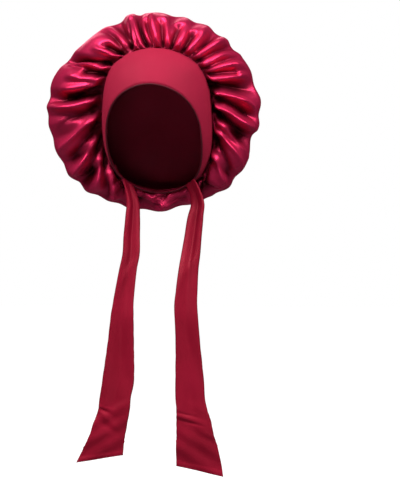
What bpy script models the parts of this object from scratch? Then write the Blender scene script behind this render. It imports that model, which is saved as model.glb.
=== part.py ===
"""Sleep bonnet: a gathered satin crown on a wide stretch band, with two long ties.

Metres, +Z up. The origin is the middle of the head that the bonnet fits, and the face
looks along -Y. A clock angle is read from the front: 0 at the forehead, 90 on the +X
side and 180 at the nape.
"""

import math
from collections import namedtuple

import bmesh
import bpy
from mathutils import Vector

# The head that the band is cut for
HEAD_HALF_BREADTH = 0.0765
HEAD_HALF_DEPTH = 0.097
HEAD_HALF_HEIGHT = 0.111

# The band
BAND_WALL = 0.002
BAND_ROUNDING = 0.00025
BAND_COLUMNS = 96
BAND_STRIPS = 4

# The crown
CROWN_WALL = 0.0016
CROWN_REACH = 0.156
CROWN_BACK = 0.138
CROWN_PUFF_TOP = 0.0042
CROWN_PUFF_LOW = 0.012
CROWN_SIDE_SHIFT = -0.007
CROWN_LIFT = 0.0255
CROWN_SAG = 0.014
FOLD_HEIGHT = 0.010
FOLD_AT_OUTLINE = 0.45
FOLD_SWEEP = 27.0
GATHERS = 60
GATHER_HEIGHT = 0.0013

# The ties
TIE_DROP = 0.422
TIE_WIDTH = 0.067
TIE_WALL = 0.0018
TIE_ROOT_WIDTH = 0.021
TIE_ROOT_CLOCK = 148.5
TIE_FREE = 1.4
TIE_STRIPS = 6
TIE_SECTIONS = 26

# The gap that sewn edges keep to each other
SEAM_GAP = 0.0007

# Half of the band's loop, from the forehead to the nape, as shares of the head's half
# sizes: its face edge, then its seam edge
Station = namedtuple("Station", "edge_x edge_y edge_z seam_x seam_y seam_z")
BAND_STATIONS = (
    Station(0.000, -0.897, 0.509, 0.000, -0.392, 1.020),
    Station(0.195, -0.885, 0.494, 0.450, -0.350, 0.962),
    Station(0.400, -0.835, 0.446, 0.820, -0.247, 0.800),
    Station(0.605, -0.753, 0.360, 1.000, -0.082, 0.545),
    Station(0.770, -0.634, 0.225, 1.043, 0.062, 0.275),
    Station(0.885, -0.474, 0.030, 1.048, 0.155, 0.040),
    Station(0.915, -0.361, -0.171, 1.030, 0.227, -0.189),
    Station(0.908, -0.237, -0.333, 0.980, 0.289, -0.378),
    Station(0.863, -0.072, -0.500, 0.876, 0.351, -0.541),
    Station(0.762, 0.103, -0.640, 0.745, 0.423, -0.667),
    Station(0.601, 0.253, -0.748, 0.575, 0.485, -0.748),
    Station(0.327, 0.392, -0.838, 0.314, 0.557, -0.811),
    Station(0.000, 0.454, -0.874, 0.000, 0.598, -0.829),
)

# The crown's outline seen from the front, every 15 degrees of the clock: its reach as
# a share of CROWN_REACH and how far back it lies as a share of CROWN_BACK
Outline = namedtuple("Outline", "reach depth")
CROWN_OUTLINE = (
    Outline(0.941, 0.16),
    Outline(0.938, 0.17),
    Outline(0.951, 0.18),
    Outline(0.966, 0.21),
    Outline(0.978, 0.25),
    Outline(1.002, 0.28),
    Outline(1.010, 0.31),
    Outline(0.970, 0.35),
    Outline(0.990, 0.41),
    Outline(0.990, 0.47),
    Outline(0.962, 0.53),
    Outline(0.939, 0.58),
    Outline(0.953, 0.60),
    Outline(0.966, 0.58),
    Outline(0.986, 0.54),
    Outline(1.042, 0.48),
    Outline(1.061, 0.42),
    Outline(1.061, 0.36),
    Outline(1.075, 0.32),
    Outline(1.061, 0.29),
    Outline(1.014, 0.26),
    Outline(0.953, 0.22),
    Outline(0.939, 0.19),
    Outline(0.948, 0.17),
)

# One meridian of the crown, from the seam over the outline to the middle of its back.
# Each section is a share of the seam, a share of the outline and the rest of the back
# point, read once across (x and z) and once in depth (y); puff stands it forward
Section = namedtuple("Section", "seam outline seam_depth outline_depth puff")
CROWN_SECTIONS = (
    Section(1.00, 0.000, 1.00, 0.00, 0.00),
    Section(0.80, 0.200, 0.86, 0.14, 0.75),
    Section(0.56, 0.440, 0.68, 0.32, 1.00),
    Section(0.31, 0.690, 0.44, 0.56, 0.85),
    Section(0.10, 0.900, 0.19, 0.81, 0.40),
    Section(0.00, 1.000, 0.00, 1.00, 0.00),
    Section(0.00, 0.975, 0.00, 0.76, 0.00),
    Section(0.00, 0.890, 0.00, 0.50, 0.00),
    Section(0.00, 0.740, 0.00, 0.27, 0.00),
    Section(0.00, 0.530, 0.00, 0.10, 0.00),
    Section(0.00, 0.270, 0.00, 0.02, 0.00),
    Section(0.00, 0.000, 0.00, 0.00, 0.00),
)
OUTLINE_SECTION = 5
FOLD_FULL = 3.3
FOLD_SOFTENS = 2.8
GATHER_FULL = 1.0
GATHER_END = 3.7

# Where along the meridian, in sections, the crown's rings of points lie. The first
# two are the part that is sewn in, which the gathers and the puff leave flat
SEAM_ROW = 0.18
PUFF_START = 1.2
CROWN_RINGS = (0, SEAM_ROW, 0.5, 0.9, 1.4, 2, 2.6, 3.2, 3.8, 4.4, 5, 5.5, 6.1, 6.8, 7.6, 8.5, 9.6)

# The crown's main folds: clock angle at the outline, half width of its foot in degrees, height as
# a share of FOLD_HEIGHT (a valley is below 0), and the sections where it starts and
# where it has died out
Fold = namedtuple("Fold", "clock half_width height start end")
CROWN_FOLDS = (
    Fold(2, 12.8, 0.5, 0.8, 7.5),
    Fold(12, 6.4, -0.5, 0.3, 7.0),
    Fold(19, 8.0, 0.4, 0.8, 8.0),
    Fold(25, 5.6, -0.5, 0.3, 7.5),
    Fold(31, 8.0, 0.5, 0.8, 9.0),
    Fold(39, 6.4, -0.5, 0.3, 8.0),
    Fold(47, 8.0, 0.8, 0.8, 8.5),
    Fold(52, 5.6, -0.8, 0.3, 7.0),
    Fold(62, 14.4, 0.7, 0.5, 9.5),
    Fold(75, 8.0, -0.6, 0.3, 8.0),
    Fold(85, 9.6, 0.4, 0.8, 8.5),
    Fold(92, 5.6, -0.7, 0.3, 7.5),
    Fold(98, 6.4, 0.9, 0.3, 8.0),
    Fold(106, 7.2, -1.0, 0.3, 8.5),
    Fold(121, 11.2, 0.9, 0.5, 9.0),
    Fold(129, 6.4, -0.5, 0.3, 7.5),
    Fold(137, 8.0, 0.7, 0.5, 8.5),
    Fold(148, 9.6, -0.7, 0.3, 8.0),
    Fold(158, 9.6, 0.5, 0.8, 9.0),
    Fold(168, 8.0, -0.5, 0.3, 7.5),
    Fold(178, 9.6, 0.6, 0.8, 9.0),
    Fold(189, 8.0, -0.6, 0.3, 8.0),
    Fold(197, 8.0, 0.5, 0.8, 8.5),
    Fold(204, 6.4, -0.4, 0.3, 7.5),
    Fold(211, 8.0, 0.6, 0.5, 9.0),
    Fold(217, 6.4, -0.6, 0.3, 8.0),
    Fold(223, 7.2, 0.8, 0.5, 8.5),
    Fold(229.5, 6.4, -1.2, 0.3, 8.0),
    Fold(236, 7.2, 1.0, 0.5, 8.5),
    Fold(242, 6.4, -0.6, 0.3, 7.5),
    Fold(250, 8.0, 0.6, 0.5, 9.0),
    Fold(257, 6.4, -0.4, 0.3, 7.5),
    Fold(264, 8.0, 0.4, 0.5, 8.5),
    Fold(269, 5.6, -0.6, 0.3, 7.0),
    Fold(273.5, 5.6, 0.8, 0.8, 7.5),
    Fold(278, 5.6, -0.9, 0.3, 7.5),
    Fold(289, 12.8, 0.6, 0.5, 9.5),
    Fold(301, 6.4, -1.0, 0.3, 8.5),
    Fold(320, 19.2, 0.7, 0.5, 9.5),
    Fold(337.5, 8.0, -1.3, 0.3, 8.0),
    Fold(345.5, 6.4, 1.0, 0.3, 7.5),
    Fold(352, 5.6, -0.7, 0.3, 7.5),
)

# A tie's sections: drop as a share of TIE_DROP, sway and forward lean as shares of
# TIE_DROP too, width as a share of TIE_WIDTH, the turn of its face in degrees, the
# rise of its outer side per width, and its lengthwise crease as a share of its width
TieSection = namedtuple("TieSection", "drop sway forward width turn rise crease")
RIGHT_TIE = (
    TieSection(0.000, 0.000, 0.000, 0.31, 43, 0.45, 0.08),
    TieSection(0.062, 0.024, 0.008, 0.39, 40, 0.10, 0.14),
    TieSection(0.127, 0.017, 0.023, 0.44, 32, 0.05, 0.16),
    TieSection(0.191, 0.011, 0.037, 0.45, 26, 0.00, 0.15),
    TieSection(0.255, 0.005, 0.051, 0.47, 18, 0.00, 0.12),
    TieSection(0.318, -0.002, 0.065, 0.47, 12, 0.00, 0.10),
    TieSection(0.424, -0.008, 0.084, 0.52, 6, 0.00, 0.06),
    TieSection(0.487, -0.005, 0.094, 0.54, 3, 0.00, 0.04),
    TieSection(0.571, 0.001, 0.098, 0.56, 0, 0.02, 0.03),
    TieSection(0.697, 0.008, 0.105, 0.64, -2, 0.04, 0.03),
    TieSection(0.760, 0.011, 0.110, 0.66, -3, 0.05, 0.05),
    TieSection(0.802, 0.017, 0.115, 0.69, -3, 0.05, 0.03),
    TieSection(0.843, 0.024, 0.117, 0.78, -2, 0.02, 0.02),
    TieSection(0.885, 0.029, 0.117, 0.84, -1, -0.05, 0.02),
    TieSection(0.927, 0.036, 0.117, 0.93, 0, -0.11, 0.02),
    TieSection(0.970, 0.041, 0.115, 1.00, 1, -0.18, 0.01),
    TieSection(1.018, 0.046, 0.113, 1.05, 2, -0.21, 0.01),
)
LEFT_TIE = (
    TieSection(0.000, 0.000, 0.000, 0.31, 43, 0.45, 0.08),
    TieSection(0.062, -0.024, 0.008, 0.32, 46, 0.10, 0.13),
    TieSection(0.126, -0.026, 0.023, 0.37, 44, 0.05, 0.15),
    TieSection(0.191, -0.024, 0.037, 0.39, 36, 0.00, 0.13),
    TieSection(0.255, -0.023, 0.051, 0.40, 26, 0.00, 0.10),
    TieSection(0.319, -0.012, 0.065, 0.41, 18, 0.00, 0.08),
    TieSection(0.425, 0.001, 0.084, 0.47, 10, 0.00, 0.06),
    TieSection(0.488, 0.005, 0.094, 0.53, 5, 0.00, 0.05),
    TieSection(0.573, 0.009, 0.098, 0.60, 2, -0.02, 0.04),
    TieSection(0.699, 0.017, 0.105, 0.72, 0, -0.04, 0.03),
    TieSection(0.763, 0.027, 0.110, 0.72, -2, -0.07, 0.05),
    TieSection(0.805, 0.031, 0.115, 0.74, -3, -0.09, 0.03),
    TieSection(0.847, 0.042, 0.117, 0.79, -2, -0.10, 0.02),
    TieSection(0.889, 0.053, 0.117, 0.83, -1, -0.12, 0.02),
    TieSection(0.932, 0.067, 0.115, 0.92, 0, -0.15, 0.01),
    TieSection(0.979, 0.081, 0.113, 1.05, 2, -0.17, 0.01),
)

SATIN = ("crimson_satin", (0.33, 0.006, 0.035), 0.32)
KNIT = ("crimson_knit", (0.50, 0.025, 0.075), 0.62)
SASH = ("crimson_sash", (0.34, 0.010, 0.040), 0.50)
SATIN_METALLIC = 0.25


def cubic(before, here, there, after, part):
    """A point on the smooth curve between two rows, given the rows on either side."""
    return tuple(
        b + 0.5 * part * ((c - a) + part * ((2 * a - 5 * b + 4 * c - d) + part * (3 * (b - c) + d - a)))
        for a, b, c, d in zip(before, here, there, after)
    )


def read_loop(rows, position):
    """A closed table read at any place between its rows."""
    first = math.floor(position)
    four = (rows[(first + step) % len(rows)] for step in (-1, 0, 1, 2))
    return cubic(*four, position - first)


def read_run(rows, position):
    """An open table read at any place between its rows."""
    first = min(math.floor(position), len(rows) - 2)
    four = (rows[max(0, min(len(rows) - 1, first + step))] for step in (-1, 0, 1, 2))
    return cubic(*four, position - first)


def ease(low, high, value):
    """0 below low, 1 above high, and a smooth rise between them."""
    part = max(0.0, min(1.0, (value - low) / (high - low)))
    return part * part * (3 - 2 * part)


def whole_loop():
    """The band's stations all the way round: the half table and its mirror image."""
    mirrored = [row._replace(edge_x=-row.edge_x, seam_x=-row.seam_x) for row in BAND_STATIONS[-2:0:-1]]
    return list(BAND_STATIONS) + mirrored


LOOP = whole_loop()


def band_edges(clock):
    """The band's face edge and its seam edge, both on its inner side."""
    size = (HEAD_HALF_BREADTH, HEAD_HALF_DEPTH, HEAD_HALF_HEIGHT)
    row = read_loop(LOOP, clock / 360 * len(LOOP))
    edge = Vector(share * half for share, half in zip(row[:3], size))
    seam = Vector(share * half for share, half in zip(row[3:], size))
    return edge, seam


def head_normal(point):
    """The direction straight out of the head at a point near its surface."""
    size = (HEAD_HALF_BREADTH, HEAD_HALF_DEPTH, HEAD_HALF_HEIGHT)
    return Vector(value / half**2 for value, half in zip(point, size)).normalized()


def band_point(clock, across, lift):
    """A point of the band: across runs from its face edge, 0, to its seam edge, 1."""
    edge, seam = band_edges(clock)
    chord = seam - edge
    point = edge.lerp(seam, across)
    head_curve = (HEAD_HALF_DEPTH + HEAD_HALF_HEIGHT) / 2
    bulge = chord.length_squared / (8 * head_curve)
    return point + head_normal(point) * (4 * across * (1 - across) * bulge + lift)


def seam_way(clock):
    """The direction in which the band's wall runs out at its seam edge."""
    return (band_point(clock, 1.0, 0) - band_point(clock, 0.94, 0)).normalized()


def edge_way(clock):
    """The direction in which the band's wall runs out at its face edge."""
    return (band_point(clock, 0.0, 0) - band_point(clock, 0.06, 0)).normalized()


def seam_clock(clock):
    """Where on the band the cloth starts that hangs down to this clock angle."""
    return clock - FOLD_SWEEP * math.sin(math.radians(clock))


def crown_seam(clock):
    """The middle of the crown's wall where it is sewn behind the band's seam edge."""
    start = seam_clock(clock)
    return band_point(start, 1.0, BAND_WALL / 2) + seam_way(start) * (SEAM_GAP + CROWN_WALL / 2)


def crown_rim(clock):
    """The crown's outline, its furthest reach from the middle."""
    reach, depth = read_loop(CROWN_OUTLINE, clock / 360 * len(CROWN_OUTLINE))
    turn = math.radians(clock)
    across = Vector((math.sin(turn), 0, math.cos(turn))) * reach * CROWN_REACH
    return Vector((CROWN_SIDE_SHIFT, depth * CROWN_BACK, CROWN_LIFT)) + across


def crown_smooth(clock, position):
    """The crown with no folds. The position counts sections from the seam, 0."""
    seam, rim = crown_seam(clock), crown_rim(clock)
    back = Vector((CROWN_SIDE_SHIFT, CROWN_BACK, CROWN_LIFT - CROWN_SAG))
    row = Section(*read_run(CROWN_SECTIONS, position))
    point = seam * row.seam + rim * row.outline + back * (1 - row.seam - row.outline)
    depth = seam.y * row.seam_depth + rim.y * row.outline_depth
    point.y = depth + back.y * (1 - row.seam_depth - row.outline_depth)
    low = math.sin(math.radians(clock) / 2) ** 2
    forward = (CROWN_PUFF_TOP + (CROWN_PUFF_LOW - CROWN_PUFF_TOP) * low) * row.puff
    puff = forward * ease(SEAM_ROW, PUFF_START, position)
    return point - Vector((0, puff, 0))


def crown_normal(clock, position):
    """The direction straight out of the unfolded crown."""
    step = 0.05
    position = max(step, position)
    along = crown_smooth(clock, position + step) - crown_smooth(clock, position - step)
    around = crown_smooth(clock + 1, position) - crown_smooth(clock - 1, position)
    return around.cross(along).normalized()


def fold_height(clock, position):
    """How far the main folds and the fine gathers stand off the unfolded crown."""
    height = 0.0
    soft = 1 - (1 - FOLD_AT_OUTLINE) * ease(FOLD_SOFTENS, OUTLINE_SECTION, position)
    for fold in CROWN_FOLDS:
        off = abs((clock - fold.clock + 180) % 360 - 180) / fold.half_width
        if off < 1:
            rise = ease(fold.start, FOLD_FULL, position)
            fall = 1 - ease(OUTLINE_SECTION, fold.end, position)
            height += fold.height * FOLD_HEIGHT * (1 - off * off) ** 2 * rise * fall * soft
    gathered = ease(SEAM_ROW, GATHER_FULL, position) * (1 - ease(GATHER_FULL, GATHER_END, position))
    return height + GATHER_HEIGHT * gathered * math.cos(GATHERS * math.radians(clock))


def crown_ring(position, inward):
    """One closed row of the crown's points, on its outer or its inner side."""
    columns = 2 * GATHERS
    ring = []
    for column in range(columns):
        clock = 360 * column / columns
        off = CROWN_WALL / 2 + fold_height(clock, position) - inward
        ring.append(crown_smooth(clock, position) + crown_normal(clock, position) * off)
    return ring


def ring_of(mesh, points):
    """Vertices for one closed row of points, joined by edges."""
    count = len(points)
    ring = bmesh.ops.create_circle(mesh, segments=count, radius=1.0)["verts"]
    for vertex, point in zip(ring, points):
        vertex.co = point
    return ring


def skin(mesh, rings):
    """Joins each closed row of points to the next with a strip of faces."""
    rows = [ring_of(mesh, points) for points in rings]
    for here, there in zip(rows, rows[1:]):
        bridge(mesh, here, there)
    return rows


def bridge(mesh, here, there):
    """One strip of faces between two rows of vertices that run the same way."""
    count = len(here)
    for index in range(count):
        following = (index + 1) % count
        mesh.faces.new((here[index], here[following], there[following], there[index]))


def to_object(name, mesh, material):
    """Finishes the mesh as a named, smooth-shaded object with its material."""
    bmesh.ops.remove_doubles(mesh, verts=mesh.verts, dist=1e-6)
    bmesh.ops.recalc_face_normals(mesh, faces=mesh.faces)
    data = bpy.data.meshes.new(name)
    mesh.to_mesh(data)
    mesh.free()
    data.shade_smooth()
    data.materials.append(material)
    made = bpy.data.objects.new(name, data)
    bpy.context.scene.collection.objects.link(made)
    return made


def cloth(finish, metallic=0.0):
    """A Principled material for one cloth."""
    name, colour, roughness = finish
    material = bpy.data.materials.new(name)
    material.use_nodes = True
    shader = material.node_tree.nodes["Principled BSDF"]
    shader.inputs["Base Color"].default_value = (*colour, 1)
    shader.inputs["Roughness"].default_value = roughness
    shader.inputs["Metallic"].default_value = metallic
    return material


def make_crown(material):
    """The gathered bag: an outer and an inner skin, joined at the seam."""
    mesh = bmesh.new()
    skins = []
    for inward in (0.0, CROWN_WALL):
        rows = skin(mesh, [crown_ring(position, inward) for position in CROWN_RINGS])
        last = len(CROWN_SECTIONS) - 1
        off = Vector((0, CROWN_WALL / 2 - inward, 0))
        pole = mesh.verts.new(crown_smooth(0, last) + off)
        for index, vertex in enumerate(rows[-1]):
            mesh.faces.new((vertex, rows[-1][(index + 1) % len(rows[-1])], pole))
        skins.append(rows[0])
    bridge(mesh, *skins)
    return to_object("crown", mesh, material)


def make_band(material):
    """The wide band: a closed loop of doubled knit with a rounded face edge."""
    places = [step / BAND_STRIPS for step in range(BAND_STRIPS + 1)]
    around = []
    for step in range(BAND_COLUMNS):
        clock = 360 * step / BAND_COLUMNS
        inner = [band_point(clock, across, 0) for across in reversed(places)]
        inner[-1] = band_point(clock, 0, BAND_ROUNDING)
        fold = band_point(clock, 0, BAND_WALL / 2) + edge_way(clock) * BAND_WALL / 2
        outer = [band_point(clock, across, BAND_WALL) for across in places]
        outer[0] = band_point(clock, 0, BAND_WALL - BAND_ROUNDING)
        around.append([*inner, fold, *outer])
    mesh = bmesh.new()
    rings = skin(mesh, [list(points) for points in zip(*around)])
    bridge(mesh, rings[-1], rings[0])
    return to_object("band", mesh, material)


def tie_root(side, share):
    """A point on the band's face edge where a tie is sewn on, across the tie's width."""
    before, after = band_edges(TIE_ROOT_CLOCK - 1)[0], band_edges(TIE_ROOT_CLOCK + 1)[0]
    degrees = 2 * TIE_ROOT_WIDTH / (after - before).length
    clock = TIE_ROOT_CLOCK - share * degrees
    point = band_point(clock, 0, BAND_WALL / 2)
    point += edge_way(clock) * (BAND_WALL / 2 + SEAM_GAP)
    out = head_normal(point)
    return Vector((side * point.x, point.y, point.z)), Vector((side * out.x, out.y, out.z))


def tie_point(side, rows, position, share):
    """The middle of a tie's cloth; share runs from -0.5, inside, to 0.5, outside."""
    row = TieSection(*read_run(rows, position))
    start = tie_root(side, 0)[0]
    centre = start + Vector((side * row.sway, -row.forward, -row.drop)) * TIE_DROP
    turn = math.radians(row.turn)
    width = row.width * TIE_WIDTH
    across = Vector((side * math.cos(turn), -math.sin(turn), row.rise)) * share * width
    valley = row.crease * width * math.cos(math.pi * share) ** 4
    crease = Vector((side * math.sin(turn), math.cos(turn), 0)) * valley
    hanging = centre + across + crease
    return tie_root(side, share)[0].lerp(hanging, ease(0, TIE_FREE, position))


def tie_normal(side, rows, position, share):
    """The way that the front of a tie's cloth faces."""
    step = 0.05
    low, high = max(0, position - step), min(len(rows) - 1, position + step)
    down = tie_point(side, rows, high, share) - tie_point(side, rows, low, share)
    inner, outer = max(-0.5, share - step), min(0.5, share + step)
    across = tie_point(side, rows, position, outer) - tie_point(side, rows, position, inner)
    hanging = (across.cross(down) * side).normalized()
    return tie_root(side, share)[1].lerp(-hanging, ease(0, TIE_FREE, position)).normalized()


def make_tie(name, side, rows, material):
    """One long tie: a flat strip of doubled cloth, creased, with a slanting end."""
    shares = [step / TIE_STRIPS - 0.5 for step in range(TIE_STRIPS + 1)]
    rings = []
    for step in range(TIE_SECTIONS):
        position = (len(rows) - 1) * step / (TIE_SECTIONS - 1)
        middle = [tie_point(side, rows, position, share) for share in shares]
        off = [tie_normal(side, rows, position, share) * TIE_WALL / 2 for share in shares]
        front = [point + out for point, out in zip(middle, off)]
        back = [point - out for point, out in zip(middle, off)]
        rings.append(front + back[::-1])
    mesh = bmesh.new()
    made = skin(mesh, rings)
    for ring in (made[0], made[-1]):
        half = len(ring) // 2
        for index in range(half - 1):
            other = len(ring) - 1 - index
            mesh.faces.new((ring[index], ring[index + 1], ring[other - 1], ring[other]))
    return to_object(name, mesh, material)


def main():
    """Clears the scene and builds the bonnet."""
    for old in list(bpy.data.objects):
        bpy.data.objects.remove(old, do_unlink=True)
    make_crown(cloth(SATIN, SATIN_METALLIC))
    make_band(cloth(KNIT))
    sash = cloth(SASH)
    make_tie("tie_right", 1, RIGHT_TIE, sash)
    make_tie("tie_left", -1, LEFT_TIE, sash)


main()
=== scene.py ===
"""A sleep bonnet dressed for its picture: gathered satin crown, wide knit band and long ties.

Metres, +Z up. The origin is the middle of the head that the bonnet fits, and the face
looks along -Y. A clock angle is read from the front: 0 at the forehead, 90 on the +X
side and 180 at the nape.
"""

import logging
import math
from abc import ABC, abstractmethod
from collections.abc import Callable
from dataclasses import dataclass, field
from enum import Enum
from typing import NamedTuple

import bmesh
import bpy
import numpy as np
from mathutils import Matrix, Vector


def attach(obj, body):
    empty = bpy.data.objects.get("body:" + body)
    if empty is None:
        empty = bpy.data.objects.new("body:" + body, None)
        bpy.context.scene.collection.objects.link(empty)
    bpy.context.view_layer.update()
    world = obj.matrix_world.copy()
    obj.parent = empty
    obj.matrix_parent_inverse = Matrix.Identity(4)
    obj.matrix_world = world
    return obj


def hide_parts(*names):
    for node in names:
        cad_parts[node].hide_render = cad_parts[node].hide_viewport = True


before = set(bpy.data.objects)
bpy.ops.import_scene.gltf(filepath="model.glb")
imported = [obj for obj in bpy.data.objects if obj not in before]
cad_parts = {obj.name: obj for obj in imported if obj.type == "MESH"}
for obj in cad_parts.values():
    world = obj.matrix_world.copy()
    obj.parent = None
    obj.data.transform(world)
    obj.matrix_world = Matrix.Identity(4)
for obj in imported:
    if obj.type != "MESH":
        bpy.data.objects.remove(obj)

LOG = logging.getLogger("bonnet")
ROOT = "root"
VECTOR, FLOAT, COLOUR = "NodeSocketVector", "NodeSocketFloat", "NodeSocketColor"

THREAD_SIZE = 0.0002
RIPPLE_SIZE = 0.002
OUTLINE = 5
PER_METRE = 1000
TINY = 1e-9
TOUCHING = 1e-6
WHITE = (1, 1, 1, 1)

Array = np.ndarray
Piece = bpy.types.Object
Tree = bpy.types.NodeTree
Pair = tuple[float, float]
Triple = tuple[float, float, float]
Span = tuple[float, float, float, float]
Place = Callable[[Array, Array], Array]


class Station(NamedTuple):
    """One place on the band's loop: its face edge and its seam edge, as shares of the head."""

    edge_x: float
    edge_y: float
    edge_z: float
    seam_x: float
    seam_y: float
    seam_z: float


class Outline(NamedTuple):
    """The crown's outline at one clock angle: its reach, and how far back it lies."""

    reach: float
    depth: float


class Section(NamedTuple):
    """One section of the crown's meridian, as shares of the seam and of the outline."""

    seam: float
    outline: float
    seam_depth: float
    outline_depth: float
    puff: float


class Fold(NamedTuple):
    """A broad fold: clock angle, half width in degrees, height share, first and last section."""

    clock: float
    half_width: float
    height: float
    start: float
    end: float


class Profile(NamedTuple):
    """How a sharp fold is shaped: the power of its profile, and how far from its start and from
    its end it rises and closes."""

    power: float
    rise: float
    closing: float


# Ridges near the top, at the sides and low down, then slits and pockets.
ROUND = Profile(2.6, 0.25, 0.6)
THIN = Profile(1.4, 0.25, 0.6)
SLOW = Profile(1.4, 1.45, 0.6)
SLIT = Profile(1.0, 0.25, 0.6)
POCKET = Profile(2.0, 0.25, 0.15)


class Crease(NamedTuple):
    """A sharp fold. The clock angle at its start, its turn by the middle and by the end, the
    sections where it starts, bends and ends, then its half width and its height in millimetres
    (a slit is below 0)."""

    clock: float
    turn_middle: float
    turn_end: float
    start: float
    middle: float
    end: float
    half_width: float
    height: float

    @property
    def profile(self) -> Profile:
        """A slit or a pocket, or a ridge that is rounder near the top."""
        if self.height < 0:
            return POCKET if self.end < POCKET_END else SLIT
        upright = math.cos(math.radians(self.clock))
        return ROUND if upright > TOP_FROM else SLOW if upright < LOW_FROM else THIN


class TieSection(NamedTuple):
    """One section of a tie: drop, sway and lean forward as shares of its length, width as a
    share of its full width, the turn of its face in degrees, the rise of its outer side per
    width, and its lengthwise crease as a share of its width."""

    drop: float
    sway: float
    forward: float
    width: float
    turn: float
    rise: float
    crease: float


class TieCrease(NamedTuple):
    """A crease across a tie: where it crosses the middle as a share of the length, its slant,
    its half width and height in millimetres, and where it is deepest across the tie, from
    -0.5 at the inner side to 0.5 at the outer side."""

    along: float
    slant: float
    half_width: float
    height: float
    centre: float


class TieWave(NamedTuple):
    """A slow wave of a tie: its height, its turns along and across the cloth, how far the two
    ties differ in it, and where it rises from nothing."""

    height: float
    along: float
    across: float
    side: float
    rise: Pair


class Wave(NamedTuple):
    """A slow wave round the crown: how often it turns, where it starts and how high it is."""

    turns: float
    start: float
    height: float


class Dent(NamedTuple):
    """A wave of dents over the back: its height, its turns for a metre of x and of z, where it
    starts, how far it bends and the turns of that bend."""

    height: float
    x: float
    z: float
    start: float
    bend: float
    bend_x: float
    bend_z: float

    def depth(self, x: Array, z: Array) -> Array:
        """How high it stands at these places."""
        bent = self.bend * np.sin(self.bend_x * x + self.bend_z * z)
        return self.height * np.sin(self.x * x + self.z * z + self.start + bent)


class Lamp(NamedTuple):
    """A soft light: its name, place, size, power in watts, spread in degrees and aim."""

    name: str
    place: Triple
    size: Pair
    power: float
    spread: float = 100.0
    aim: Triple = (0, 0, 0)


def table(kind: type, *rows: tuple[float, ...]) -> tuple:
    """The rows as records of one kind."""
    return tuple(kind(*row) for row in rows)


# From the forehead to the nape on the +X side. The other side mirrors it.
BAND_STATIONS = table(
    Station,
    (0, -0.897, 0.509, 0, -0.392, 1.02), (0.195, -0.885, 0.494, 0.45, -0.35, 0.962),
    (0.4, -0.835, 0.446, 0.82, -0.247, 0.8), (0.605, -0.753, 0.36, 1, -0.082, 0.545),
    (0.77, -0.634, 0.225, 1.043, 0.062, 0.275), (0.885, -0.474, 0.03, 1.048, 0.155, 0.04),
    (0.915, -0.361, -0.171, 1.03, 0.227, -0.189), (0.908, -0.237, -0.333, 0.98, 0.289, -0.378),
    (0.863, -0.072, -0.5, 0.876, 0.351, -0.541), (0.762, 0.103, -0.64, 0.745, 0.423, -0.667),
    (0.601, 0.253, -0.748, 0.575, 0.485, -0.748), (0.327, 0.392, -0.838, 0.314, 0.557, -0.811),
    (0, 0.454, -0.874, 0, 0.598, -0.829),
)

# One row for every 15 degrees of the clock.
CROWN_OUTLINE = table(
    Outline,
    (0.941, 0.16), (0.938, 0.17), (0.951, 0.18), (0.966, 0.21), (0.978, 0.25), (1.002, 0.28),
    (1.01, 0.31), (0.97, 0.35), (0.99, 0.41), (0.99, 0.47), (0.962, 0.53), (0.939, 0.58),
    (0.953, 0.6), (0.966, 0.58), (0.986, 0.54), (1.042, 0.48), (1.061, 0.42), (1.061, 0.36),
    (1.075, 0.32), (1.061, 0.29), (1.014, 0.26), (0.953, 0.22), (0.939, 0.19), (0.948, 0.17),
)

# From the seam (0) out to the outline (5) and on to the pole (11).
CROWN_SECTIONS = table(
    Section,
    (1, 0, 1, 0, 0), (0.8, 0.2, 0.86, 0.14, 0.75), (0.56, 0.44, 0.68, 0.32, 1),
    (0.31, 0.69, 0.44, 0.56, 0.85), (0.1, 0.9, 0.19, 0.81, 0.4), (0, 1, 0, 1, 0),
    (0, 0.975, 0, 0.76, 0), (0, 0.89, 0, 0.5, 0), (0, 0.74, 0, 0.27, 0), (0, 0.53, 0, 0.1, 0),
    (0, 0.27, 0, 0.02, 0), (0, 0, 0, 0, 0),
)

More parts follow.
